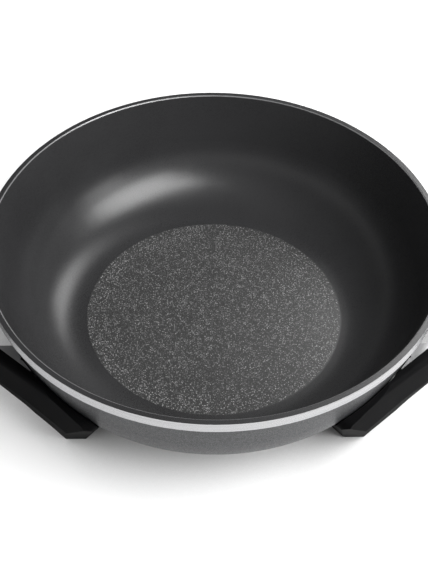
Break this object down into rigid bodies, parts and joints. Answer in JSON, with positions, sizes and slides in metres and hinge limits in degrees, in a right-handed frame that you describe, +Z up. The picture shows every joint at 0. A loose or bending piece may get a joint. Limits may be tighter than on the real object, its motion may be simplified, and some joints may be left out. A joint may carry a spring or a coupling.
{
  "type": "electric wok",
  "caption": "Wide cast electric wok on two angular handle-and-leg frames, with a plug-in dial thermostat at the back.",
  "frame": {"origin": "on the table, at the middle of the wok's footprint; the bowl's upright axis stands 25.5 mm in front of it, at y = -0.0255", "axes": "+Z up, +X to the right seen from the front, +Y to the back where the thermostat plugs in"},
  "size_m": [0.49, 0.411, 0.125],
  "materials": {
    "cast_bowl": "non-stick coating inside, satin metallic coat outside, bare bright rim band",
    "element_sheath": "heat-tinted steel tube",
    "plated_pin": "nickel plate",
    "ceramic": "glazed ceramic",
    "bare_aluminium": "as drawn",
    "guard_steel": "zinc plate",
    "screw_steel": "zinc plate",
    "phenolic": "satin black moulding",
    "nose_phenolic": "matt black moulding",
    "case_plastic": "fine-grained black moulding",
    "dial_plastic": "black with pale marks",
    "cam_plastic": "natural nylon",
    "brass_parts": "plain brass",
    "spring_brass": "rolled brass strip",
    "probe_steel": "stainless",
    "lamp_glass": "clear bulb",
    "lens_amber": "clear amber",
    "gland_rubber": "black",
    "pad_rubber": "black",
    "barrier_felt": "pressed fibre"
  },
  "bodies": {
    "wok": {"bowl": "cast_bowl", "heating_element": "element_sheath", "terminal_pin_left": "plated_pin", "terminal_pin_right": "plated_pin", "terminal_insulator_left": "ceramic", "terminal_insulator_right": "ceramic", "probe_socket": "bare_aluminium", "connector_guard": "guard_steel", "guard_screws": "screw_steel", "left_handle_frame": "phenolic", "right_handle_frame": "phenolic", "left_lug_screws": "screw_steel", "right_lug_screws": "screw_steel", "left_front_foot_pad": "pad_rubber", "left_front_heat_barrier": "barrier_felt", "left_rear_foot_pad": "pad_rubber", "left_rear_heat_barrier": "barrier_felt", "right_front_foot_pad": "pad_rubber", "right_front_heat_barrier": "barrier_felt", "right_rear_foot_pad": "pad_rubber", "right_rear_heat_barrier": "barrier_felt"},
    "thermostat": {"case_lower": "case_plastic", "case_upper": "case_plastic", "case_screws": "screw_steel", "plug_nose": "nose_phenolic", "receptacle_left": "brass_parts", "receptacle_right": "brass_parts", "terminal_block_left": "brass_parts", "terminal_block_right": "brass_parts", "temperature_probe": "probe_steel", "probe_clamp": "ceramic", "switch_plate": "guard_steel", "contact_arm_left": "spring_brass", "contact_arm_right": "spring_brass", "neon_lamp": "lamp_glass", "lamp_lens": "lens_amber", "cord_inlet": "gland_rubber"},
    "dial": {"dial": "dial_plastic", "dial_shaft": "screw_steel", "dial_cam": "cam_plastic"}
  },
  "joints": [
    {"name": "thermostat_pull", "type": "slide", "parent": "wok", "child": "thermostat", "axis": [0, 1, 0], "range_m": [0, 0.1]},
    {"name": "dial_turn", "type": "hinge", "parent": "thermostat", "child": "dial", "pos_m": [0, 0.1705, 0.04], "axis": [0, 0, 1], "range_deg": [-270, 0]}
  ]
}
